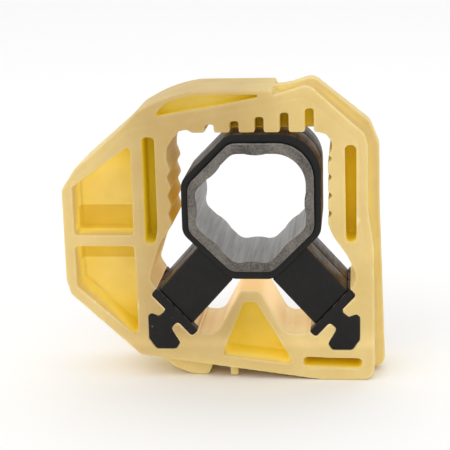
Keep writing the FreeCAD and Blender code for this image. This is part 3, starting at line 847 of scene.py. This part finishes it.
@dataclass
class Housing:
    """The moulded housing with its window, comb, cells and slots."""

    # The skin is drawn anew in cubes this wide, rounded off, and thinned to this share of its faces.
    skin_step: float = 0.34 * MM
    rounding: float = 0.5
    rounding_passes: int = 3
    kept_share: float = 0.36

    def build(self, frame: dict, finish: bpy.types.Material) -> bpy.types.Object:
        """Make the housing with soft edges all over, and dress it.

        Args:
            frame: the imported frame.
            finish: the polyamide.

        Returns:
            The housing.
        """
        shell = merged_copy(frame, "housing", "housing_moulding")
        shape(shell, "REMESH", mode="VOXEL", voxel_size=self.skin_step, use_smooth_shade=True)
        shape(shell, "SMOOTH", factor=self.rounding, iterations=self.rounding_passes)
        shape(shell, "DECIMATE", ratio=self.kept_share)
        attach(shell, "housing")
        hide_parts("housing")
        dress(shell, finish)
        return shell


@dataclass
class Sleeve:
    """The stiff sleeve that both rubber rings are bonded to."""

    edge: float = 0.3 * MM

    def build(self, frame: dict, finish: bpy.types.Material) -> bpy.types.Object:
        """Make the sleeve and dress it.

        Args:
            frame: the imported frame.
            finish: the filled polyamide.

        Returns:
            The sleeve.
        """
        sleeve = moulded_copy(frame, "inner_sleeve", "sleeve_moulding", "core", self.edge)
        dress(sleeve, finish)
        return sleeve


class End(Enum):
    """Which of the two rubber elements, as its nodes are named."""

    FRONT = "front"
    REAR = "rear"


class Side(Enum):
    """Which way a leg leans, as the sign of its X."""

    LEFT = -1
    RIGHT = 1


@dataclass
class RubberElement:
    """One of the two stacked rubber mouldings: a ring, two legs and the anchors at their feet."""

    end: End
    edge: float = 0.35 * MM
    leg_edge: float = 0.45 * MM
    leg_width: float = 11.9 * MM
    # A leg's middle line starts this far below the bore's axis and slopes down by this angle.
    focus_drop: float = 4.3 * MM
    leg_angle: float = 48.0
    # A leg's root lies along the ring's sloping flat, where X and the depth below the axis add up to this.
    flat_lean: float = 45.0
    flat_sum: float = 23.6 * MM
    # The anchor's shoulder crosses the middle line this far out, turned a little from square.
    shoulder_out: float = 29.4 * MM
    shoulder_turn: float = 5.3
    # The bar that a leg is cut from, and the even parts it is cut into along its length.
    blank_length: float = 40.0 * MM
    parts_along: int = 24
    # X and Z of two points on a right leg: the first on the housing's side, the second on the sleeve's.
    held_at: tuple[float, float] = (19.7 * MM, -26.1 * MM)
    carried_at: tuple[float, float] = (9.3 * MM, -14.6 * MM)

    def build(self, frame: dict, finish: bpy.types.Material) -> list[bpy.types.Object]:
        """Make the element's pieces and dress them.

        Args:
            frame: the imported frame.
            finish: the rubber.

        Returns:
            The ring, both anchors and both legs.
        """
        ring = f"{self.end.value}_ring"
        pieces = [moulded_copy(frame, ring, f"{ring}_moulding", "core", self.edge)]
        for side in Side:
            stem = f"{self.end.value}_{side.name.lower()}"
            anchor = f"{stem}_anchor"
            pieces.append(moulded_copy(frame, anchor, f"{anchor}_moulding", "housing", self.edge))
            pieces.append(self.leg(f"{stem}_leg", side))
        for piece in pieces:
            dress(piece, finish)
        return pieces

    def along(self, out: float, side: Side) -> tuple[float, float]:
        """The X and Z of a point this far out along a leg's middle line."""
        slope = radians(self.leg_angle)
        return side.value * out * cos(slope), -self.focus_drop - out * sin(slope)

    def leg(self, node: str, side: Side) -> bpy.types.Object:
        """Make one leg as a rounded bar between the ring and its anchor, cut into even parts along its
        length.

        Args:
            node: the CAD leg it stands for.
            side: which way it leans.

        Returns:
            The leg.
        """
        low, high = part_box(node)
        middle = (low[1] + high[1]) / 2
        slope = radians(self.leg_angle)
        root_out = (self.flat_sum - self.focus_drop) / (cos(slope) + sin(slope))
        length = self.shoulder_out - root_out
        x, z = self.along(root_out + length / 2, side)
        bpy.ops.object.select_all(action="DESELECT")
        bpy.ops.mesh.primitive_cube_add(
            size=1.0,
            location=(x, middle, z),
            rotation=(0.0, side.value * slope, 0.0),
            scale=(self.blank_length, high[1] - low[1], self.leg_width),
        )
        leg = bpy.context.object
        leg.name = f"{node}_bar"
        bpy.ops.object.transform_apply(location=True, rotation=True, scale=True)
        bpy.ops.object.mode_set(mode="EDIT")
        shoulder_lean = self.leg_angle - self.shoulder_turn
        self.cut(side, root_out, self.flat_lean, clear_inner=True, use_fill=True)
        self.cut(side, self.shoulder_out, shoulder_lean, clear_outer=True, use_fill=True)
        bpy.ops.object.mode_set(mode="OBJECT")
        soften(leg, self.leg_edge)
        bpy.ops.object.mode_set(mode="EDIT")
        for part in range(1, self.parts_along):
            self.cut(side, root_out + length * part / self.parts_along, self.leg_angle)
        bpy.ops.object.mode_set(mode="OBJECT")
        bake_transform(leg)
        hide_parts(node)
        return leg

    def cut(self, side: Side, out: float, lean: float, **cleared: bool) -> None:
        """Cut a leg in edit mode by a plane across it.

        Args:
            side: which way the leg leans.
            out: how far out along its middle line the plane crosses.
            lean: how far below level the plane faces, in degrees.
            cleared: what the cut takes away and fills, by the operator's own names.
        """
        x, z = self.along(out, side)
        facing = (side.value * cos(radians(lean)), 0.0, -sin(radians(lean)))
        bpy.ops.mesh.select_all(action="SELECT")
        bpy.ops.mesh.bisect(plane_co=(x, 0.0, z), plane_no=facing, **cleared)


def main() -> None:
    """Build the whole scene and report each piece."""
    logging.basicConfig(level=logging.INFO, format="%(name)s: %(message)s")
    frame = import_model()
    cad_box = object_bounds()
    bpy.ops.object.select_all(action="DESELECT")
    StudioCamera().build()
    Studio(floor_height=cad_box[0][2]).build()
    rubber = MouldedRubber().build()
    pieces = [Housing().build(frame, NaturalPolyamide().build())]
    pieces.append(Sleeve().build(frame, FilledPolyamide().build()))
    for end in End:
        pieces += RubberElement(end).build(frame, rubber)
    for piece in pieces:
        log.info("%s: %d faces", piece.name, len(piece.data.polygons))


if __name__ == "__main__":
    main()
